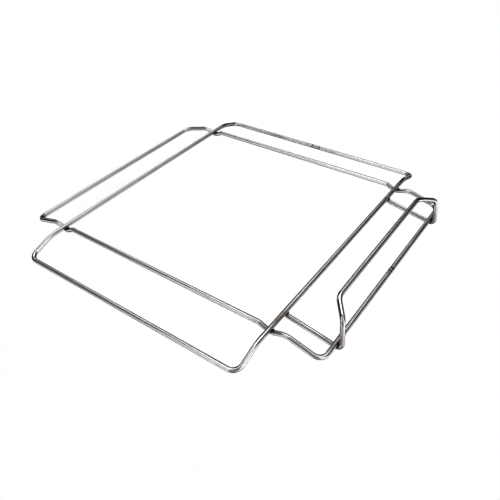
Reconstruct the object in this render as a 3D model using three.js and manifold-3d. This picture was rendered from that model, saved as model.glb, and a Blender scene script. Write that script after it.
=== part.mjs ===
// Wire support frame with a lift handle.
// Two rectangular loops of round wire cross over each other in a square, a third wire makes the handle,
// and small weld beads hold the wires together.
// Millimetres, +Z up. +X points to the handle. Loop A (upper) is long in Y, loop B (lower) is long in X.

import * as THREE from 'three';
import { mergeVertices } from 'three/addons/utils/BufferGeometryUtils.js';
import Module from 'manifold-3d';

const wasm = await Module();
wasm.setup();

const UP = new THREE.Vector3(0, 0, 1);

// Driving dimensions.
const WIRE_DIAMETER = 4.76;
const RAIL_HALF_SPACING = 140; // upper loop, centre of the frame to a side rail

// Upper loop: straight side rails, sloping down to its two end rails.
const UPPER_HALF_LENGTH = 188.6;
const UPPER_SLOPE_START = 157.3;
const END_DROP = 10.4;

// Lower loop: its side rails dip under the upper loop, then slope down to its two end rails.
const LOWER_HALF_WIDTH = 136.8;
const LOWER_HALF_LENGTH = 193.2;
const LOWER_SLOPE_START = RAIL_HALF_SPACING + 15.2;
const DIP_DEPTH = WIRE_DIAMETER;
const DIP_FLAT_HALF = 2.4;
const DIP_HALF_WIDTH = 12.2;

// Bend radii, on the wire's centre line.
const CORNER_RADIUS = 9.8;
const UPPER_SLOPE_RADIUS = 50;
const LOWER_SLOPE_RADIUS = 18;
const DIP_RADIUS = 5.6;

// Handle: feet under the frame, a turn around the lower loop's end rail, a short leg, then a leaning bow.
const FOOT_HALF_SPACING = 111.5;
const FOOT_OVERHANG = 2.8;
const LEG_FOOT_X = LOWER_HALF_LENGTH + 5.8;
const LEG_TOP = { x: 196.4, halfSpacing: 109, z: 17.2 };
const BAR = { x: 181.6, halfSpacing: 90.3, z: 23.6 };
const TURN_RADIUS = 5.4;
const LEG_TOP_RADIUS = 8.6;
const BAR_CORNER_RADIUS = 16;

// Weld beads.
const CROSS_BEAD_RADIUS = 3.7;
const CROSS_BEAD_HALF_HEIGHT = 2.0;
const BUTT_BEAD_SWELL = 0.25;
const UPPER_BUTT_LENGTH = 10;
const UPPER_BUTT_X = -0.7;
const LOWER_BUTT_LENGTH = 3.4;
const LOWER_BUTT_Y = 4.2;
const BEAD_GAP = 0.3; // left between a bead and the wires it is cut by
const END_GAP = 0.1; // left between a butt bead and each wire end

// Fineness of the round shapes.
const WIRE_SIDES = 16;
const ARC_STEP = Math.PI / 12;
const BEAD_SIDES = 20;

const WIRE_RADIUS = WIRE_DIAMETER / 2;

const WIRE_STEEL = { color: 0xc4c5c6, metalness: 1, roughness: 0.3 };
const WELD_STEEL = { color: 0x8a8075, metalness: 1, roughness: 0.5 };

function vec(x, y, z) {
  return new THREE.Vector3(x, y, z);
}

// One bend: the places and directions of the wire's centre line along the arc that rounds a corner.
function bendStations(before, corner, after, radius) {
  const back = before.clone().sub(corner).normalize();
  const ahead = after.clone().sub(corner).normalize();
  const opening = back.angleTo(ahead);
  const turn = Math.PI - opening;
  const reach = radius / Math.tan(opening / 2);
  const toCentre = back.clone().add(ahead).normalize().multiplyScalar(radius / Math.sin(opening / 2));
  const centre = corner.clone().add(toCentre);
  const first = corner.clone().addScaledVector(back, reach).sub(centre);
  const last = corner.clone().addScaledVector(ahead, reach).sub(centre);
  const steps = Math.max(2, Math.ceil(turn / ARC_STEP));
  const stations = [];
  for (let i = 0; i <= steps; i += 1) {
    const angle = (turn * i) / steps;
    const spoke = first.clone().multiplyScalar(Math.sin(turn - angle));
    spoke.addScaledVector(last, Math.sin(angle)).divideScalar(Math.sin(turn));
    const direction = first.clone().multiplyScalar(-Math.cos(turn - angle));
    direction.addScaledVector(last, Math.cos(angle)).normalize();
    stations.push({ point: centre.clone().add(spoke), direction });
  }
  return stations;
}

// A wire bent at corners. The sweep gets one ring at each end of a straight and several around a bend.
class BentWire extends THREE.Curve {
  // corners: [{ at, radius }], the two ends have no radius. levelled keeps the section upright all the way.
  constructor(corners, levelled) {
    super();
    this.levelled = levelled;
    this.stations = [];
    const last = corners.length - 1;
    const start = corners[0].at;
    const end = corners[last].at;
    this.stations.push({ point: start, direction: corners[1].at.clone().sub(start).normalize() });
    for (let i = 1; i < last; i += 1) {
      const { at, radius } = corners[i];
      this.stations.push(...bendStations(corners[i - 1].at, at, corners[i + 1].at, radius));
    }
    this.stations.push({ point: end, direction: end.clone().sub(corners[last - 1].at).normalize() });
  }

  get steps() {
    return this.stations.length - 1;
  }

  getSpacedPoints() {
    return this.stations.map((station) => station.point);
  }

  computeFrenetFrames() {
    const tangents = this.stations.map((station) => station.direction);
    const normals = [];
    let side = UP.clone().cross(tangents[0]);
    for (const tangent of tangents) {
      side = this.levelled ? UP.clone().cross(tangent) : side.clone().projectOnPlane(tangent);
      normals.push(side.normalize());
    }
    const binormals = normals.map((normal, i) => tangents[i].clone().cross(normal));
    return { tangents, normals, binormals };
  }
}

// Round section with flats at its top, bottom and sides.
function wireSection(radius) {
  const points = [];
  for (let i = 0; i < WIRE_SIDES; i += 1) {
    const angle = ((i + 0.5) * 2 * Math.PI) / WIRE_SIDES;
    points.push(new THREE.Vector2(radius * Math.cos(angle), radius * Math.sin(angle)));
  }
  return new THREE.Shape(points);
}

function sweptWire(path, radius) {
  const options = { steps: path.steps, extrudePath: path, bevelEnabled: false };
  return new THREE.ExtrudeGeometry(wireSection(radius), options);
}

function corner(x, y, z, radius = 0) {
  return { at: vec(x, y, z), radius };
}

// The upper loop starts and ends at the butt joint in the middle of its back end rail.
function upperLoopPath() {
  const x = RAIL_HALF_SPACING;
  const jointHalf = UPPER_BUTT_LENGTH / 2 + END_GAP;
  const endZ = -END_DROP;
  return new BentWire([
    corner(UPPER_BUTT_X + jointHalf, UPPER_HALF_LENGTH, endZ),
    corner(x, UPPER_HALF_LENGTH, endZ, CORNER_RADIUS),
    corner(x, UPPER_SLOPE_START, 0, UPPER_SLOPE_RADIUS),
    corner(x, -UPPER_SLOPE_START, 0, UPPER_SLOPE_RADIUS),
    corner(x, -UPPER_HALF_LENGTH, endZ, CORNER_RADIUS),
    corner(-x, -UPPER_HALF_LENGTH, endZ, CORNER_RADIUS),
    corner(-x, -UPPER_SLOPE_START, 0, UPPER_SLOPE_RADIUS),
    corner(-x, UPPER_SLOPE_START, 0, UPPER_SLOPE_RADIUS),
    corner(-x, UPPER_HALF_LENGTH, endZ, CORNER_RADIUS),
    corner(UPPER_BUTT_X - jointHalf, UPPER_HALF_LENGTH, endZ),
  ], true);
}

// Corners of one lower side rail, running in the direction given by way (+1 or -1 along X) at height y.
function lowerSideRail(y, way) {
  const dipEdges = [
    corner(-LOWER_HALF_LENGTH, y, -END_DROP, CORNER_RADIUS),
    corner(-LOWER_SLOPE_START, y, 0, LOWER_SLOPE_RADIUS),
    corner(-RAIL_HALF_SPACING - DIP_FLAT_HALF, y, -DIP_DEPTH, DIP_RADIUS),
    corner(-RAIL_HALF_SPACING + DIP_FLAT_HALF, y, -DIP_DEPTH, DIP_RADIUS),
    corner(-RAIL_HALF_SPACING + DIP_HALF_WIDTH, y, 0, DIP_RADIUS),
  ];
  const farEnd = dipEdges.map(({ at, radius }) => corner(-at.x, at.y, at.z, radius)).reverse();
  const rail = [...dipEdges, ...farEnd];
  return way > 0 ? rail : rail.reverse();
}

// The lower loop starts and ends at the butt joint in its handle-side end rail.
function lowerLoopPath() {
  const jointHalf = LOWER_BUTT_LENGTH / 2 + END_GAP;
  return new BentWire([
    corner(LOWER_HALF_LENGTH, LOWER_BUTT_Y + jointHalf, -END_DROP),
    ...lowerSideRail(LOWER_HALF_WIDTH, -1),
    ...lowerSideRail(-LOWER_HALF_WIDTH, 1),
    corner(LOWER_HALF_LENGTH, LOWER_BUTT_Y - jointHalf, -END_DROP),
  ], true);
}

// Unit vector square to a foot, pointing down. A foot touches the upper side rail and the lower end rail
// from below, so its centre line runs one wire diameter under the line through those two.
function footDown() {
  return vec(-END_DROP, 0, RAIL_HALF_SPACING - LOWER_HALF_LENGTH).normalize();
}

// Height of a foot's centre line at x.
function footHeight(x) {
  const down = footDown();
  const slope = END_DROP / (RAIL_HALF_SPACING - LOWER_HALF_LENGTH);
  const underRail = vec(RAIL_HALF_SPACING, 0, 0).addScaledVector(down, WIRE_DIAMETER);
  return underRail.z + slope * (x - underRail.x);
}

function handlePath() {
  const footEndX = RAIL_HALF_SPACING - FOOT_OVERHANG;
  const half = [
    corner(footEndX, -FOOT_HALF_SPACING, footHeight(footEndX)),
    corner(LEG_FOOT_X, -FOOT_HALF_SPACING, footHeight(LEG_FOOT_X), TURN_RADIUS),
    corner(LEG_TOP.x, -LEG_TOP.halfSpacing, LEG_TOP.z, LEG_TOP_RADIUS),
    corner(BAR.x, -BAR.halfSpacing, BAR.z, BAR_CORNER_RADIUS),
  ];
  const otherHalf = half.map(({ at, radius }) => corner(at.x, -at.y, at.z, radius)).reverse();
  return new BentWire([...half, ...otherHalf], false);
}

// A closed solid for cutting, made from a three.js geometry.
function toSolid(geometry) {
  const bare = geometry.clone();
  bare.deleteAttribute('normal');
  bare.deleteAttribute('uv');
  const merged = mergeVertices(bare, 1e-4);
  const vertProperties = new Float32Array(merged.attributes.position.array);
  const triVerts = new Uint32Array(merged.index.array);
  return new wasm.Manifold(new wasm.Mesh({ numProp: 3, vertProperties, triVerts }));
}

function toGeometry(solid) {
  const mesh = solid.getMesh();
  const geometry = new THREE.BufferGeometry();
  geometry.setAttribute('position', new THREE.BufferAttribute(new Float32Array(mesh.vertProperties), 3));
  geometry.setIndex(new THREE.BufferAttribute(new Uint32Array(mesh.triVerts), 1));
  geometry.computeVertexNormals();
  return geometry;
}

// Bead around the place where two wires touch: a flattened ball less both wires.
function crossBead(contact, cutters) {
  const ball = new THREE.SphereGeometry(1, BEAD_SIDES, BEAD_SIDES / 2);
  ball.rotateX(Math.PI / 2);
  ball.scale(CROSS_BEAD_RADIUS, CROSS_BEAD_RADIUS, CROSS_BEAD_HALF_HEIGHT);
  ball.translate(contact.x, contact.y, contact.z);
  let solid = toSolid(ball);
  for (const cutter of cutters) {
    solid = solid.subtract(cutter);
  }
  return toGeometry(solid);
}

// Bead that joins two wire ends: a short barrel, slightly thicker in the middle, lying along X.
function buttBead(length) {
  const half = length / 2;
  const profile = [new THREE.Vector2(0, -half)];
  const rings = 6;
  for (let i = 0; i <= rings; i += 1) {
    const along = -half + (length * i) / rings;
    const swell = BUTT_BEAD_SWELL * Math.sin((Math.PI * i) / rings);
    profile.push(new THREE.Vector2(WIRE_RADIUS + swell, along));
  }
  profile.push(new THREE.Vector2(0, half));
  const geometry = new THREE.LatheGeometry(profile, BEAD_SIDES);
  geometry.rotateZ(-Math.PI / 2);
  return geometry;
}

function node(name, geometry, finish) {
  const mesh = new THREE.Mesh(geometry, new THREE.MeshStandardMaterial(finish));
  mesh.name = name;
  return mesh;
}

// Places where the lower loop's side rails pass under the upper loop's side rails.
function crossings() {
  const places = [];
  for (const [yName, ySign] of [['front', -1], ['back', 1]]) {
    for (const [xName, xSign] of [['left', -1], ['right', 1]]) {
      const x = xSign * RAIL_HALF_SPACING;
      const y = ySign * LOWER_HALF_WIDTH;
      places.push({ name: `cross_weld_${yName}_${xName}`, at: vec(x, y, -WIRE_RADIUS) });
    }
  }
  return places;
}

// Places where a handle foot touches a wire above it, whose centre line is at x, z.
function footContacts(prefix, x, z) {
  const drop = footDown().multiplyScalar(WIRE_RADIUS);
  return [['front', -1], ['back', 1]].map(([side, sign]) => ({
    name: `${prefix}_${side}`,
    at: vec(x, sign * FOOT_HALF_SPACING, z).add(drop),
  }));
}

function wireNodes() {
  return [
    node('upper_loop_wire', sweptWire(upperLoopPath(), WIRE_RADIUS), WIRE_STEEL),
    node('lower_loop_wire', sweptWire(lowerLoopPath(), WIRE_RADIUS), WIRE_STEEL),
    node('handle_wire', sweptWire(handlePath(), WIRE_RADIUS), WIRE_STEEL),
  ];
}

function crossWeldNodes() {
  const cutRadius = WIRE_RADIUS + BEAD_GAP;
  const upper = toSolid(sweptWire(upperLoopPath(), cutRadius));
  const lower = toSolid(sweptWire(lowerLoopPath(), cutRadius));
  const handle = toSolid(sweptWire(handlePath(), cutRadius));
  const groups = [
    { places: crossings(), cutters: [upper, lower] },
    { places: footContacts('foot_weld', RAIL_HALF_SPACING, 0), cutters: [upper, handle] },
    { places: footContacts('turn_weld', LOWER_HALF_LENGTH, -END_DROP), cutters: [lower, handle] },
  ];
  return groups.flatMap(({ places, cutters }) => (
    places.map(({ name, at }) => node(name, crossBead(at, cutters), WELD_STEEL))
  ));
}

function buttWeldNodes() {
  const upper = buttBead(UPPER_BUTT_LENGTH);
  upper.translate(UPPER_BUTT_X, UPPER_HALF_LENGTH, -END_DROP);
  const lower = buttBead(LOWER_BUTT_LENGTH);
  lower.rotateZ(Math.PI / 2);
  lower.translate(LOWER_HALF_LENGTH, LOWER_BUTT_Y, -END_DROP);
  return [
    node('upper_butt_weld', upper, WELD_STEEL),
    node('lower_butt_weld', lower, WELD_STEEL),
  ];
}

// Puts the origin under the middle of the whole part, at its lowest point.
function standOnOrigin(group) {
  const box = new THREE.Box3().setFromObject(group);
  const centre = box.getCenter(new THREE.Vector3());
  for (const mesh of group.children) {
    mesh.geometry.translate(-centre.x, -centre.y, -box.min.z);
  }
  return group;
}

const frame = new THREE.Group();
frame.name = 'wire_support_frame';
frame.add(...wireNodes(), ...crossWeldNodes(), ...buttWeldNodes());

export default standOnOrigin(frame);
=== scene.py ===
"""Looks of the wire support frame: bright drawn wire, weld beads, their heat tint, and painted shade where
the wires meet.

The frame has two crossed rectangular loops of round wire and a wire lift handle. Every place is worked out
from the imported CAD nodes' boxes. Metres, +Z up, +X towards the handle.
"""

import math

import bmesh
import bpy
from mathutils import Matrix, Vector, noise


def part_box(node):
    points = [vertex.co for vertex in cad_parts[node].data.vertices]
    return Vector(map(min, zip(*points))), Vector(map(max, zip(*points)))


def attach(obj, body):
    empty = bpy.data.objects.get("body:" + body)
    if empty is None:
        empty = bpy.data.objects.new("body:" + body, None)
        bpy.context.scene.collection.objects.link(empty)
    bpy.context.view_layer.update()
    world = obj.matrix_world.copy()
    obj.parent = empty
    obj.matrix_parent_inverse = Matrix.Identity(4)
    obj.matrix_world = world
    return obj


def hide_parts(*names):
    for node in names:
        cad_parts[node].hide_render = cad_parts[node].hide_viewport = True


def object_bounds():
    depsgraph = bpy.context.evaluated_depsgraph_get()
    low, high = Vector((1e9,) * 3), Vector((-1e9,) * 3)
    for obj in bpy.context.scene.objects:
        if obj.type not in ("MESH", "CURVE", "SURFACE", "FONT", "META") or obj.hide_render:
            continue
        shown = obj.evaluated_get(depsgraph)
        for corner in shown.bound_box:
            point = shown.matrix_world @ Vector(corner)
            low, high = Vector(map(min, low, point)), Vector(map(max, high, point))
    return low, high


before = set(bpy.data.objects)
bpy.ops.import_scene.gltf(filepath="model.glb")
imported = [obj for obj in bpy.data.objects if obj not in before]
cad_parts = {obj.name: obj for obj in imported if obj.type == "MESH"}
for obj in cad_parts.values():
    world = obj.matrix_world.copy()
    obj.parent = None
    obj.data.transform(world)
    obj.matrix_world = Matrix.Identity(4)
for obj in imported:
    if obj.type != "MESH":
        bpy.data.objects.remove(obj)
CAD_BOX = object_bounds()

UP = Vector((0, 0, 1))
MM = 0.001

# The CAD wire has sixteen flats; the round wire here lies just inside them.
WIRE_DIAMETER = 4.76 * MM
CAD_WIRE_SIDES = 16
WIRE_RADIUS = WIRE_DIAMETER / 2 * math.cos(math.pi / CAD_WIRE_SIDES)
WIRE_SIDES = 32
RING_SPACING = 4 * MM
ARC_STEP = math.radians(6)
END_ROUNDING = 0.5 * MM

# Bends, on the wire's centre line.
CORNER_RADIUS = 9.8 * MM
UPPER_SLOPE_RADIUS = 50 * MM
LOWER_SLOPE_RADIUS = 18 * MM
DIP_RADIUS = 5.6 * MM
UPPER_SLOPE_LENGTH = 31.3 * MM
LOWER_SLOPE_LENGTH = 38.0 * MM
DIP_DEPTH = WIRE_DIAMETER
DIP_FLAT_HALF = 2.4 * MM
DIP_HALF_WIDTH = 12.2 * MM

# Handle, measured from the lower loop's end rail (x) and the level of the side rails (z).
FOOT_OVERHANG = 2.8 * MM
TURN_OUTSET = 5.8 * MM
TURN_RADIUS = 5.4 * MM
LEG_LEAN = 2.6 * MM
LEG_NARROWING = 2.5 * MM
LEG_TOP_HEIGHT = 17.2 * MM
LEG_TOP_RADIUS = 8.6 * MM
BAR_INSET = 17.4 * MM
BAR_NARROWING = 21.2 * MM
BAR_HEIGHT = 23.6 * MM
BAR_CORNER_RADIUS = 16 * MM

# Camera, round the middle of the upper loop at side rail level. Angles in degrees, lens and sensor in mm.
CAMERA_AZIMUTH = 37.12
CAMERA_ELEVATION = 39.30
CAMERA_ROLL = -2.63
CAMERA_DISTANCE = 0.6312
CAMERA_SHIFT = (16.25 * MM, -51.6 * MM)
CAMERA_LENS = 38.76
CAMERA_SENSOR = 36


# ---------------------------------------------------------------- places taken from the CAD frame


def inner_box(node):
    """A wire node's box brought in by the wire's radius: the extent of its centre line."""
    low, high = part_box(node)
    margin = Vector((WIRE_RADIUS,) * 3)
    return low + margin, high - margin


UPPER_LOW, UPPER_HIGH = inner_box("upper_loop_wire")
LOWER_LOW, LOWER_HIGH = inner_box("lower_loop_wire")
HANDLE_LOW, HANDLE_HIGH = inner_box("handle_wire")
RAIL_Z = UPPER_HIGH.z
END_Z = UPPER_LOW.z


def butt_centre(node):
    """Middle of the joint where a loop's two wire ends meet."""
    low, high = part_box(node)
    return (low + high) / 2


def butt_length(node, axis):
    """Length of the bead on that joint, measured along the wire."""
    low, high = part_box(node)
    return high[axis] - low[axis]


# ---------------------------------------------------------------- bent wire meshes


def bend_stations(before, corner, after, radius):
    """Places and directions along the arc that rounds a corner."""
    back = (before - corner).normalized()
    ahead = (after - corner).normalized()
    opening = back.angle(ahead)
    turn = math.pi - opening
    reach = radius / math.tan(opening / 2)
    centre = corner + (back + ahead).normalized() * (radius / math.sin(opening / 2))
    first = corner + back * reach - centre
    last = corner + ahead * reach - centre
    steps = max(3, math.ceil(turn / ARC_STEP))
    stations = []
    for i in range(steps + 1):
        angle = turn * i / steps
        spoke = (first * math.sin(turn - angle) + last * math.sin(angle)) / math.sin(turn)
        direction = last * math.cos(angle) - first * math.cos(turn - angle)
        stations.append((centre + spoke, direction.normalized()))
    return stations


def straight_stations(start, end):
    """Places between start and end, both left out."""
    span = end - start
    count = max(1, round(span.length / RING_SPACING))
    return [(start + span * (i / count), span.normalized()) for i in range(1, count)]


def wire_stations(corners, closed):
    """Stations of a whole wire. corners is a list of (place, bend radius).

    An open wire's first and last corner are its ends, with radius 0."""
    count = len(corners)
    runs = []
    for i, (place, radius) in enumerate(corners):
        before = corners[i - 1][0]
        after = corners[(i + 1) % count][0]
        if closed or 0 < i < count - 1:
            runs.append(bend_stations(before, place, after, radius))
        else:
            direction = (after - place) if i == 0 else (place - before)
            runs.append([(place, direction.normalized())])
    stations = []
    for i, run in enumerate(runs):
        stations += run
        if closed or i < count - 1:
            stations += straight_stations(run[-1][0], runs[(i + 1) % count][0][0])
    return stations


def sides_of(stations, closed):
    """One vector square to the wire per station, turning no more than it has to."""
    side = UP.cross(stations[0][1]).normalized()
    sides = []
    for _, direction in stations:
        side = UP.cross(direction) if closed else side - direction * side.dot(direction)
        side.normalize()
        sides.append(side.copy())
    return sides


def ring(mesh, centre, direction, side, radius):
    """Vertices of a round section, square to direction."""
    over = direction.cross(side)
    verts = []
    for k in range(WIRE_SIDES):
        angle = 2 * math.pi * k / WIRE_SIDES
        verts.append(mesh.verts.new(centre + (side * math.cos(angle) + over * math.sin(angle)) * radius))
    return verts


def join_rings(mesh, uv_layer, ring_a, ring_b, along_a, along_b):
    """A band of faces between two rings; u is the distance along the wire, v goes once round it."""
    count = len(ring_a)
    for k in range(count):
        after = (k + 1) % count
        face = mesh.faces.new((ring_a[k], ring_a[after], ring_b[after], ring_b[k]))
        face.smooth = True
        turns = (k / count, (k + 1) / count, (k + 1) / count, k / count)
        alongs = (along_a, along_a, along_b, along_b)
        for loop, u, v in zip(face.loops, alongs, turns):
            loop[uv_layer].uv = (u, v)


def rounded_ends(stations, sides):
    """Adds rings that round off the cut ends of an open wire, and gives each ring's share of the radius."""
    rims = [(0.0, 0.80), (0.3, 0.93), (1.0, 1.0)]  # (how far in, share of the radius)
    start, start_direction = stations[0]
    end, end_direction = stations[-1]
    inward = start_direction * END_ROUNDING
    outward = end_direction * END_ROUNDING
    head = [((start + inward * t, start_direction), sides[0], share) for t, share in rims]
    tail = [((end - outward * t, end_direction), sides[-1], share) for t, share in reversed(rims)]
    body = [(station, side, 1.0) for station, side in zip(stations[1:-1], sides[1:-1])]
    return head + body + tail


def finish_piece(name, mesh, material, replaced):
    """Turns a bmesh into an object that rides on the frame and stands for a CAD node."""
    bmesh.ops.recalc_face_normals(mesh, faces=mesh.faces)
    data = bpy.data.meshes.new(name)
    mesh.to_mesh(data)
    mesh.free()
    piece = bpy.data.objects.new(name, data)
    bpy.context.scene.collection.objects.link(piece)
    data.materials.append(material)
    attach(piece, "root")
    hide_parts(replaced)
    return piece


def bent_wire(name, corners, closed, material, replaced):
    """A round wire along its corners, as one closed surface."""
    stations = wire_stations(corners, closed)
    sides = sides_of(stations, closed)
    if closed:
        rows = [(station, side, 1.0) for station, side in zip(stations, sides)]
    else:
        rows = rounded_ends(stations, sides)
    mesh = bmesh.new()
    uv_layer = mesh.loops.layers.uv.new("along_round")
    rings = [
        ring(mesh, place, direction, side, WIRE_RADIUS * share)
        for (place, direction), side, share in rows
    ]
    distances = [0.0]
    for (before, _, _), (here, _, _) in zip(rows, rows[1:]):
        distances.append(distances[-1] + (here[0] - before[0]).length)
    for i in range(len(rings) - 1):
        join_rings(mesh, uv_layer, rings[i], rings[i + 1], distances[i], distances[i + 1])
    if closed:
        closing = distances[-1] + (rows[0][0][0] - rows[-1][0][0]).length
        join_rings(mesh, uv_layer, rings[-1], rings[0], distances[-1], closing)
    else:
        mesh.faces.new(rings[0])
        mesh.faces.new(rings[-1])
    return finish_piece(name, mesh, material, replaced)


# ---------------------------------------------------------------- the three wires


def upper_loop_corners():
    """Corners of the upper loop: high side rails, and a slope down to the end rail at the front and back."""
    left, right = UPPER_LOW.x, UPPER_HIGH.x
    front, back = UPPER_LOW.y, UPPER_HIGH.y
    front_slope = front + UPPER_SLOPE_LENGTH
    back_slope = back - UPPER_SLOPE_LENGTH
    return [
        (Vector((right, back, END_Z)), CORNER_RADIUS),
        (Vector((right, back_slope, RAIL_Z)), UPPER_SLOPE_RADIUS),
        (Vector((right, front_slope, RAIL_Z)), UPPER_SLOPE_RADIUS),
        (Vector((right, front, END_Z)), CORNER_RADIUS),
        (Vector((left, front, END_Z)), CORNER_RADIUS),
        (Vector((left, front_slope, RAIL_Z)), UPPER_SLOPE_RADIUS),
        (Vector((left, back_slope, RAIL_Z)), UPPER_SLOPE_RADIUS),
        (Vector((left, back, END_Z)), CORNER_RADIUS),
    ]


def lower_side_rail(y):
    """Corners of one lower side rail from left to right; it dips under both upper side rails."""
    left, right = LOWER_LOW.x, LOWER_HIGH.x
    dip_z = RAIL_Z - DIP_DEPTH
    rail_left, rail_right = UPPER_LOW.x, UPPER_HIGH.x
    return [
        (Vector((left, y, END_Z)), CORNER_RADIUS),
        (Vector((left + LOWER_SLOPE_LENGTH, y, RAIL_Z)), LOWER_SLOPE_RADIUS),
        (Vector((rail_left - DIP_FLAT_HALF, y, dip_z)), DIP_RADIUS),
        (Vector((rail_left + DIP_FLAT_HALF, y, dip_z)), DIP_RADIUS),
        (Vector((rail_left + DIP_HALF_WIDTH, y, RAIL_Z)), DIP_RADIUS),
        (Vector((rail_right - DIP_HALF_WIDTH, y, RAIL_Z)), DIP_RADIUS),
        (Vector((rail_right - DIP_FLAT_HALF, y, dip_z)), DIP_RADIUS),
        (Vector((rail_right + DIP_FLAT_HALF, y, dip_z)), DIP_RADIUS),
        (Vector((right - LOWER_SLOPE_LENGTH, y, RAIL_Z)), LOWER_SLOPE_RADIUS),
        (Vector((right, y, END_Z)), CORNER_RADIUS),
    ]


def lower_loop_corners():
    """Corners of the lower loop: the front side rail, then the back one the other way round."""
    front = lower_side_rail(LOWER_LOW.y)
    back = lower_side_rail(LOWER_HIGH.y)
    return front + back[::-1]


def foot_line():
    """Unit vector down from the feet, and the height of a foot's centre line at x.

    A foot touches the upper side rail and the lower end rail from below."""
    rail = Vector((UPPER_HIGH.x, 0, RAIL_Z))
    end_rail = Vector((LOWER_HIGH.x, 0, END_Z))
    run = (end_rail - rail).normalized()
    down = Vector((run.z, 0, -run.x))
    start = rail + down * DIP_DEPTH

    def height(x):
        return start.z + (x - start.x) * run.z / run.x

    return down, height


def handle_corners():
    """Corners of the handle from the front foot's end, over the bar, to the back foot's end."""
    _, height = foot_line()
    middle_y = (HANDLE_LOW.y + HANDLE_HIGH.y) / 2
    half_width = (HANDLE_HIGH.y - HANDLE_LOW.y) / 2
    foot_x = UPPER_HIGH.x - FOOT_OVERHANG
    turn_x = LOWER_HIGH.x + TURN_OUTSET
    corners = []
    for way in (-1, 1):
        foot_y = middle_y + way * half_width
        leg_y = middle_y + way * (half_width - LEG_NARROWING)
        bar_y = middle_y + way * (half_width - BAR_NARROWING)
        half = [
            (Vector((foot_x, foot_y, height(foot_x))), 0.0),
            (Vector((turn_x, foot_y, height(turn_x))), TURN_RADIUS),
            (Vector((turn_x - LEG_LEAN, leg_y, RAIL_Z + LEG_TOP_HEIGHT)), LEG_TOP_RADIUS),
            (Vector((turn_x - BAR_INSET, bar_y, RAIL_Z + BAR_HEIGHT)), BAR_CORNER_RADIUS),
        ]
        corners += half if way < 0 else half[::-1]
    return corners


# ---------------------------------------------------------------- weld beads


def crossing_places():
    """Name and place of each point where two wires touch."""
    places = []
    for y_name, y in (("front", LOWER_LOW.y), ("back", LOWER_HIGH.y)):
        for x_name, x in (("left", UPPER_LOW.x), ("right", UPPER_HIGH.x)):
            places.append((f"cross_weld_{y_name}_{x_name}", Vector((x, y, RAIL_Z - DIP_DEPTH / 2))))
    down, _ = foot_line()
    for y_name, y in (("front", HANDLE_LOW.y), ("back", HANDLE_HIGH.y)):
        under_rail = Vector((UPPER_HIGH.x, y, RAIL_Z)) + down * DIP_DEPTH / 2
        under_end = Vector((LOWER_HIGH.x, y, END_Z)) + down * DIP_DEPTH / 2
        places.append((f"foot_weld_{y_name}", under_rail))
        places.append((f"turn_weld_{y_name}", under_end))
    return places


def saddle_bead(name, centre, seed, material, replaced):
    """Bead all round the contact of a wire that lies along Y on one that lies along X.

    It runs below the upper wire beside the lower one, and above the lower wire beside the upper one. It was
    laid from the +X side, so it is thickest there."""
    around_count, tube_count = 72, 20
    reach, rise = 2.25 * MM, 0.95 * MM  # of the bead's middle line: out from the contact, and up or down
    swing = 0.40 * MM  # of the whole bead towards +X
    thickness, thickening = 0.66 * MM, 0.16 * MM
    ripple_count, ripple_share = 15, 0.06
    lump_scale, lump_share = 900, 0.22
    mesh = bmesh.new()
    uv_layer = mesh.loops.layers.uv.new("along_round")
    rings = []
    for i in range(around_count):
        turn = 2 * math.pi * i / around_count
        outward = Vector((math.cos(turn), math.sin(turn), 0))
        path = outward * reach + Vector((swing, 0, rise * math.cos(2 * turn)))
        girth = thickness + thickening * outward.x
        ripple = ripple_share * math.sin(turn * ripple_count + seed)
        verts = []
        for k in range(tube_count):
            angle = 2 * math.pi * k / tube_count
            spoke = outward * math.cos(angle) + UP * math.sin(angle)
            here = centre + path + spoke * girth
            lump = noise.noise(here * lump_scale + Vector((seed, 0, 0))) * lump_share
            verts.append(mesh.verts.new(centre + path + spoke * girth * (1 + ripple + lump)))
        rings.append(verts)
    arc = 2 * math.pi * reach / around_count
    for i in range(around_count):
        after = (i + 1) % around_count
        join_rings(mesh, uv_layer, rings[i], rings[after], arc * i, arc * (i + 1))
    return finish_piece(name, mesh, material, replaced)


def butt_bead(name, centre, length, axis, swell, material, replaced):
    """Bead round the joint of two wire ends: an uneven barrel with toes that sink into the wire."""
    steps = 40
    toe_sink = 0.12 * MM
    lump_scale, lump_share = 1100, 0.45
    direction = Vector((1, 0, 0)) if axis == 0 else Vector((0, 1, 0))
    side = UP.cross(direction)
    mesh = bmesh.new()
    uv_layer = mesh.loops.layers.uv.new("along_round")
    rings = []
    for i in range(steps + 1):
        share = i / steps
        bulge = swell * math.sin(math.pi * share) ** 0.5
        toe = toe_sink if i in (0, steps) else 0.0
        place = centre + direction * length * (share - 0.5)
        verts = ring(mesh, place, direction, side, WIRE_RADIUS + bulge - toe)
        for vert in verts:
            outward = vert.co - centre
            outward -= direction * outward.dot(direction)
            vert.co += outward.normalized() * noise.noise(vert.co * lump_scale) * swell * lump_share
        rings.append(verts)
    for i in range(steps):
        join_rings(mesh, uv_layer, rings[i], rings[i + 1], length * i / steps, length * (i + 1) / steps)
    mesh.faces.new(rings[0])
    mesh.faces.new(rings[-1])
    return finish_piece(name, mesh, material, replaced)


# ---------------------------------------------------------------- materials


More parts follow.
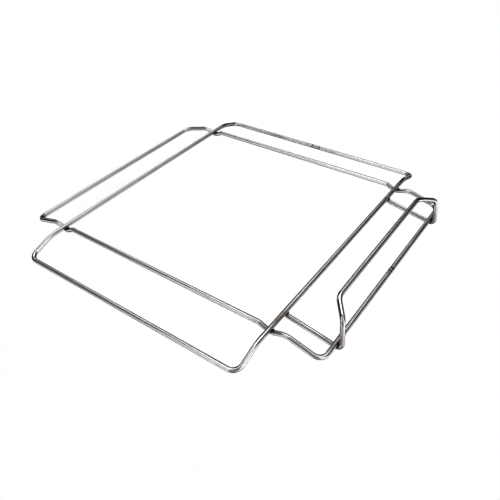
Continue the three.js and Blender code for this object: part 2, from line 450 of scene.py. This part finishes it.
class Shader:
    """Small helper for wiring up a node tree."""

    def __init__(self, tree):
        self.tree = tree
        self.tree.nodes.clear()

    def node(self, kind, inputs=None, **settings):
        made = self.tree.nodes.new(kind)
        for key, value in settings.items():
            setattr(made, key, value)
        for key, value in (inputs or {}).items():
            self.feed(made.inputs[key], value)
        return made

    def feed(self, socket, value):
        if isinstance(value, bpy.types.NodeSocket):
            self.tree.links.new(value, socket)
        else:
            socket.default_value = value

    def math(self, operation, a, b=0.0, clamp=False):
        made = self.node("ShaderNodeMath", {0: a, 1: b}, operation=operation, use_clamp=clamp)
        return made.outputs[0]

    def noise(self, vector, scale=1.0, detail=3.0, roughness=0.5):
        inputs = {"Vector": vector, "Scale": scale, "Detail": detail, "Roughness": roughness}
        return self.node("ShaderNodeTexNoise", inputs).outputs["Fac"]

    def remap(self, value, source, target, curve="LINEAR"):
        """value moved from the source range to the target range; each range is a pair."""
        inputs = {
            "Value": value,
            "From Min": source[0],
            "From Max": source[1],
            "To Min": target[0],
            "To Max": target[1],
        }
        return self.node("ShaderNodeMapRange", inputs, interpolation_type=curve).outputs["Result"]

    def fade(self, value, start, end, strength):
        """strength where value is below start, falling smoothly to 0 where it is above end."""
        return self.remap(value, (start, end), (strength, 0.0), "SMOOTHSTEP")

    def ramp(self, value, stops):
        made = self.node("ShaderNodeValToRGB", {"Fac": value})
        elements = made.color_ramp.elements
        while len(elements) < len(stops):
            elements.new(1.0)
        for element, (position, colour) in zip(elements, stops):
            element.position = position
            element.color = (*colour, 1)
        return made.outputs["Color"]

    def bump(self, height, distance, normal=None):
        inputs = {"Height": height, "Distance": distance, "Strength": 1.0}
        if normal is not None:
            inputs["Normal"] = normal
        return self.node("ShaderNodeBump", inputs).outputs["Normal"]


def round_coordinates(shader, along_scale, round_scale):
    """Texture coordinates that run along a wire and close without a seam round it."""
    uv = shader.node("ShaderNodeUVMap", uv_map="along_round").outputs["UV"]
    split = shader.node("ShaderNodeSeparateXYZ", {0: uv})
    angle = shader.math("MULTIPLY", split.outputs["Y"], 2 * math.pi)
    along = shader.math("MULTIPLY", split.outputs["X"], along_scale)
    across = shader.math("MULTIPLY", shader.math("COSINE", angle), round_scale)
    over = shader.math("MULTIPLY", shader.math("SINE", angle), round_scale)
    return shader.node("ShaderNodeCombineXYZ", {0: along, 1: across, 2: over}).outputs[0]


# ---------------------------------------------------------------- heat tint of the welding, and painted shade where the wires meet

# Painted shade: the small dark spots at the wire contacts are partly scorch and partly the shade in the
# creases there.
SCORCH_AND_SHADE_REACH = 7 * MM
TINT_REACH = 26 * MM
SIDE_RING_WIDTH = 1.3 * MM  # on each side of its middle
SIDE_RING_REACH = 4 * MM  # keeps a mark on its own wire


def tint_and_shade_spots():
    """(place, reach, strength): a small dark spot round each weld, partly scorch and partly painted shade in
    the crease where the wires meet, and a faint wider heat tint.
    """
    spots = []
    turn_outside = Vector((1 * MM, 0, 0))
    leg_foot = Vector((6 * MM, 0, 4 * MM))
    crossings = crossing_places()
    for node, place in crossings:
        if node.startswith("turn"):
            # Dark spot at a turn: partly scorch and partly painted shade between the end rail and the turn.
            spots.append((place + turn_outside, SCORCH_AND_SHADE_REACH, 1.0))
            spots.append((place + leg_foot, TINT_REACH, 0.28))
        else:
            # Dark spot at a crossing: partly scorch and partly painted shade where the wires meet.
            spots.append((place, SCORCH_AND_SHADE_REACH, 0.6))
            spots.append((place, TINT_REACH, 0.1))
    places = dict(crossings)
    between = (places["cross_weld_front_right"] + places["foot_weld_front"]) / 2
    spots.append((between, 34 * MM, 0.42))
    upper_butt = butt_centre("upper_butt_weld")
    left_of_butt = upper_butt - Vector((66 * MM, 0, 0))
    spots.append((upper_butt, 90 * MM, 0.18))
    spots.append((left_of_butt, 40 * MM, 0.30))
    spots.append((butt_centre("lower_butt_weld"), 12 * MM, 0.35))
    return spots


def butt_side_rings():
    """(place, axis, strength): dark ring on each side of a butt joint."""
    marks = []
    for node, axis, gap, strength in (
        ("upper_butt_weld", 0, 5.6 * MM, 0.72),
        ("lower_butt_weld", 1, 2.2 * MM, 1.0),
    ):
        for way in (-1, 1):
            place = butt_centre(node)
            place[axis] += way * gap
            marks.append((place, axis, strength))
    return marks


def heat_tint_and_shade(shader, place):
    """How hot the welding made the metal, from 0 to 1; near the wire contacts this darkening is partly
    painted shade.
    """
    tint_and_shade_level = 0.0
    for centre, reach, strength in tint_and_shade_spots():
        distance = shader.node("ShaderNodeVectorMath", {0: place, 1: centre}, operation="DISTANCE")
        tint_and_shade_level = shader.math("MAXIMUM", tint_and_shade_level, shader.fade(distance.outputs["Value"], 0.0, reach, strength))
    for centre, axis, strength in butt_side_rings():
        offset = shader.node("ShaderNodeVectorMath", {0: place, 1: centre}, operation="SUBTRACT").outputs[0]
        size = shader.node("ShaderNodeVectorMath", {0: offset}, operation="LENGTH").outputs["Value"]
        close = shader.math("LESS_THAN", size, SIDE_RING_REACH)
        split = shader.node("ShaderNodeSeparateXYZ", {0: offset})
        along = shader.math("ABSOLUTE", split.outputs[axis])
        mark = shader.math("MULTIPLY", shader.fade(along, 0.0, SIDE_RING_WIDTH, strength), close)
        tint_and_shade_level = shader.math("MAXIMUM", tint_and_shade_level, mark)
    return tint_and_shade_level


STEEL = (0.60, 0.60, 0.60)

# Heat tint and the colour it leaves, from clean steel through dull brown to black; the darkest colours are
# partly scorch and partly painted shade at the wire contacts.
TINT_AND_SHADE_STOPS = [
    (0.00, STEEL),
    (0.20, (0.57, 0.555, 0.55)),
    (0.40, (0.46, 0.435, 0.425)),
    (0.60, (0.28, 0.25, 0.24)),
    (0.80, (0.10, 0.085, 0.08)),
    (1.00, (0.04, 0.035, 0.032)),
]


def wire_material():
    """Bright drawn stainless wire: die lines along it, a few smudges, and heat tint near the welds, which is
    partly painted shade where the wires meet.
    """
    material = bpy.data.materials.new("drawn_wire")
    material.use_nodes = True
    shader = Shader(material.node_tree)
    lengthwise = round_coordinates(shader, along_scale=5, round_scale=14)
    crosswise = round_coordinates(shader, along_scale=45, round_scale=0.8)
    die_lines = shader.noise(lengthwise, detail=5.0, roughness=0.65)
    waves = shader.noise(crosswise, detail=2.0)
    place = shader.node("ShaderNodeTexCoord").outputs["Object"]
    smudges = shader.noise(place, scale=60, detail=4.0, roughness=0.6)
    grime = shader.noise(place, scale=420, roughness=0.6)
    # Heat tint, with painted shade darkening the metal near the wire contacts.
    tint_and_shade_level = heat_tint_and_shade(shader, place)
    uneven = shader.math("MULTIPLY", shader.remap(smudges, (0.3, 0.7), (0.8, 1.2)), tint_and_shade_level)
    colour = shader.ramp(uneven, TINT_AND_SHADE_STOPS)
    dull = shader.remap(grime, (0.35, 0.75), (1.0, 0.92))
    tinted = shader.node("ShaderNodeVectorMath", {0: colour, "Scale": dull}, operation="SCALE").outputs[0]
    roughness = shader.remap(die_lines, (0.3, 0.75), (0.09, 0.2))
    roughness = shader.math("ADD", roughness, shader.remap(smudges, (0.4, 0.8), (0.0, 0.08)))
    roughness = shader.math("ADD", roughness, shader.math("MULTIPLY", uneven, 0.9), clamp=True)
    normal = shader.bump(waves, 0.12 * MM)
    normal = shader.bump(die_lines, 0.012 * MM, normal)
    inputs = {"Base Color": tinted, "Metallic": 1.0, "Roughness": roughness, "Normal": normal}
    surface = shader.node("ShaderNodeBsdfPrincipled", inputs)
    shader.node("ShaderNodeOutputMaterial", {"Surface": surface.outputs[0]})
    return material


def weld_material(name, stops):
    """Weld metal: dull and rippled, with oxide in its hollows. stops gives its colours, hollows first."""
    material = bpy.data.materials.new(name)
    material.use_nodes = True
    shader = Shader(material.node_tree)
    place = shader.node("ShaderNodeTexCoord").outputs["Object"]
    patches = shader.noise(place, scale=500, detail=4.0, roughness=0.65)
    grains = shader.noise(place, scale=2600, roughness=0.6)
    colour = shader.ramp(patches, stops)
    roughness = shader.remap(grains, (0.3, 0.7), (0.28, 0.55))
    normal = shader.bump(patches, 0.15 * MM)
    normal = shader.bump(grains, 0.03 * MM, normal)
    inputs = {"Base Color": colour, "Metallic": 1.0, "Roughness": roughness, "Normal": normal}
    surface = shader.node("ShaderNodeBsdfPrincipled", inputs)
    shader.node("ShaderNodeOutputMaterial", {"Surface": surface.outputs[0]})
    return material


def scorched_and_shaded_weld():
    """Weld left as it was made, almost black: dark weld oxide, and partly painted shade in the crease where
    the wires meet.
    """
    return weld_material("scorched_and_shaded_weld", [
        (0.30, (0.050, 0.043, 0.039)),
        (0.48, (0.120, 0.102, 0.090)),
        (0.62, (0.240, 0.210, 0.190)),
        (0.78, (0.420, 0.390, 0.370)),
    ])


def dressed_weld():
    """Weld ground smooth, nearly as bright as the wire."""
    return weld_material("dressed_weld", [
        (0.30, (0.42, 0.41, 0.40)),
        (0.50, (0.52, 0.51, 0.50)),
        (0.75, (0.62, 0.62, 0.61)),
    ])


# ---------------------------------------------------------------- studio

FLOOR_HALF_WIDTH = 6
FLOOR_DROP = 0.2 * MM


def direction_at(azimuth, elevation):
    """Unit vector towards an azimuth, where 0 is -Y and 90 is +X, and an elevation, both in degrees."""
    turn, rise = math.radians(azimuth), math.radians(elevation)
    return Vector((math.sin(turn) * math.cos(rise), -math.cos(turn) * math.cos(rise), math.sin(rise)))


def floor_material():
    """White floor lit from behind, as a light table is, so that thin wires throw no visible shadow."""
    material = bpy.data.materials.new("studio_floor")
    material.use_nodes = True
    shader = Shader(material.node_tree)
    place = shader.node("ShaderNodeTexCoord").outputs["Object"]
    speckle = shader.remap(shader.noise(place, scale=90), (0.3, 0.7), (0.996, 1.008))
    surface = shader.node("ShaderNodeEmission", {"Color": (1, 1, 1, 1), "Strength": speckle})
    shader.node("ShaderNodeOutputMaterial", {"Surface": surface.outputs[0]})
    return material


def add_floor():
    """Plain floor just below the frame.

    The wire doesn't reflect it: the world's lower panels stand for the table."""
    mesh = bmesh.new()
    bmesh.ops.create_grid(mesh, x_segments=1, y_segments=1, size=FLOOR_HALF_WIDTH)
    data = bpy.data.meshes.new("floor")
    mesh.to_mesh(data)
    mesh.free()
    floor = bpy.data.objects.new("floor", data)
    floor.location.z = CAD_BOX[0].z - FLOOR_DROP
    floor.visible_glossy = False
    bpy.context.scene.collection.objects.link(floor)
    data.materials.append(floor_material())


# What the wire reflects: (azimuth, half width, elevation, half height, softness, brightness), in degrees.
# A later panel covers an earlier one.
AMBIENT = 0.70
PANELS = [
    (18, 48, -36, 13, 10, 1.00),  # table in front
    (37, 42, -68, 14, 8, 0.30),  # shade under the camera
    (331, 17, 22, 38, 8, 1.65),  # window in front
    (343, 9, -4, 9, 8, 0.85),  # its sill, right half
    (327, 12, -5, 8, 7, 0.30),  # its sill, left half
    (314, 7, 18, 19, 8, 0.80),  # its frame
    (329, 16, -44, 29, 8, 1.85),  # its light on the table
    (298, 9, -50, 18, 8, 0.45),  # dim table to the left of that light
    (80, 22, 33, 50, 8, 1.63),  # window at the right
    (75, 30, -38, 20, 8, 1.50),  # its light on the table
    (118, 17, -26, 20, 8, 2.15),  # brightest part of that light
    (141, 9, -28, 22, 8, 1.00),  # its fading edge
    (122, 14, 24, 16, 8, 0.15),  # dark furniture behind, to the right
    (141, 9, 22, 17, 8, 0.42),  # its lighter side
    (172, 26, 30, 11, 8, 0.05),  # dark shelf behind
    (184, 11, 0, 12, 8, 0.90),  # pale wall under the shelf
    (164, 9, -6, 10, 8, 0.20),  # shade beside that wall
    (172, 20, -52, 16, 8, 0.15),  # dim table behind
    (222, 32, -28, 48, 8, 0.03),  # dark ground behind
    (262, 30, -60, 22, 8, 0.00),  # dark ground at the left
    (242, 9, 24, 14, 6, 0.00),  # dark corner behind
    (218, 12, 28, 12, 7, 1.90),  # pale wall behind
    (261, 11, 25, 17, 8, 1.25),  # grey wall at the left
    (293, 17, 36, 17, 8, 0.20),  # dark doorway at the left front
    (300, 11, 53, 9, 8, 0.00),  # its top
    (286, 18, 8, 15, 8, 0.12),  # its foot
    (302, 10, -26, 18, 8, 1.60),  # light on the table at the left front
    (150, 22, 57, 10, 8, 1.85),  # sloped ceiling
    (182, 18, 45, 8, 8, 1.30),  # its lower edge
    (210, 43, 69, 19, 8, 2.45),  # ceiling light behind
    (274, 28, 74, 14, 8, 2.15),  # ceiling light at the left
    (243, 12, 46, 8, 8, 1.90),  # its glow on the wall
    (214, 14, 43, 8, 8, 0.30),  # dark edge above the pale wall
    (200, 8, 24, 9, 5, 0.30),  # dark corner beside the pale wall
    (199, 5, -13, 14, 6, 0.80),  # pale strip below that corner
]


def panel_mask(shader, offset, half, softness):
    """1 inside a panel, 0 outside, with a soft edge. offset is the angle from the panel's middle."""
    distance = shader.math("ABSOLUTE", offset)
    return shader.fade(distance, half - softness / 2, half + softness / 2, 1.0)


def add_world():
    """Room of soft bright and dark panels for the wire to reflect. The camera itself sees plain white."""
    world = bpy.data.worlds.new("studio")
    bpy.context.scene.world = world
    world.use_nodes = True
    shader = Shader(world.node_tree)
    direction = shader.node("ShaderNodeTexCoord").outputs["Generated"]
    split = shader.node("ShaderNodeSeparateXYZ", {0: direction})
    frontward = shader.math("MULTIPLY", split.outputs["Y"], -1.0)
    azimuth = shader.math("DEGREES", shader.math("ARCTAN2", split.outputs["X"], frontward))
    elevation = shader.math("DEGREES", shader.math("ARCSINE", split.outputs["Z"]))
    level = AMBIENT
    for centre, half_width, height, half_height, softness, brightness in PANELS:
        across = shader.math("SUBTRACT", azimuth, centre)
        wrapped = shader.node("ShaderNodeMath", {0: across, 1: 180.0, 2: -180.0}, operation="WRAP").outputs[0]
        along = shader.math("SUBTRACT", elevation, height)
        mask = shader.math(
            "MULTIPLY",
            panel_mask(shader, wrapped, half_width, softness),
            panel_mask(shader, along, half_height, softness),
        )
        level = shader.node("ShaderNodeMix", {"Factor": mask, "A": level, "B": brightness}).outputs["Result"]
    seen = shader.node("ShaderNodeLightPath").outputs["Is Camera Ray"]
    level = shader.node("ShaderNodeMix", {"Factor": seen, "A": level, "B": 1.0}).outputs["Result"]
    background = shader.node("ShaderNodeBackground", {"Color": (1, 1, 1, 1), "Strength": level})
    shader.node("ShaderNodeOutputWorld", {"Surface": background.outputs[0]})


def add_camera():
    """Camera turned about its own axis by the roll, and moved sideways and down by the shift."""
    camera_data = bpy.data.cameras.new("camera")
    camera_data.lens = CAMERA_LENS
    camera_data.sensor_width = CAMERA_SENSOR
    camera_data.clip_start = 0.01
    camera = bpy.data.objects.new("camera", camera_data)
    bpy.context.scene.collection.objects.link(camera)
    back = direction_at(CAMERA_AZIMUTH, CAMERA_ELEVATION)
    level_right = UP.cross(back).normalized()
    level_up = back.cross(level_right)
    roll = math.radians(CAMERA_ROLL)
    right = level_right * math.cos(roll) + level_up * math.sin(roll)
    up = level_up * math.cos(roll) - level_right * math.sin(roll)
    target = Vector(((UPPER_LOW.x + UPPER_HIGH.x) / 2, (UPPER_LOW.y + UPPER_HIGH.y) / 2, RAIL_Z))
    place = target + back * CAMERA_DISTANCE + right * CAMERA_SHIFT[0] + up * CAMERA_SHIFT[1]
    columns = [right, up, back, place]
    for column, vector in enumerate(columns):
        for row in range(3):
            camera.matrix_world[row][column] = vector[row]
    bpy.context.scene.camera = camera


def build_object():
    """The three wires, the eight saddle beads at their contacts and the two butt beads."""
    wire = wire_material()
    # Beads at the wire contacts: near-black, partly weld oxide and partly painted shade.
    scorched_and_shaded = scorched_and_shaded_weld()
    dressed = dressed_weld()
    bent_wire("upper_loop", upper_loop_corners(), closed=True, material=wire, replaced="upper_loop_wire")
    bent_wire("lower_loop", lower_loop_corners(), closed=True, material=wire, replaced="lower_loop_wire")
    bent_wire("handle", handle_corners(), closed=False, material=wire, replaced="handle_wire")
    for seed, (node, place) in enumerate(crossing_places()):
        saddle_bead(f"bead_{node}", place, seed, scorched_and_shaded, node)
    for node, axis, swell in (("upper_butt_weld", 0, 0.10 * MM), ("lower_butt_weld", 1, 0.20 * MM)):
        butt_bead(f"bead_{node}", butt_centre(node), butt_length(node, axis), axis, swell, dressed, node)


def build_studio():
    """Floor, light and the way brightness is shown."""
    add_floor()
    add_world()
    # Brightness is shown as it is, with no display curve. A pixel that a thin dark edge shares with the white
    # floor then comes out as dark as in a photograph that was made smaller.
    bpy.context.scene.view_settings.view_transform = "Raw"


build_object()
build_studio()
add_camera()
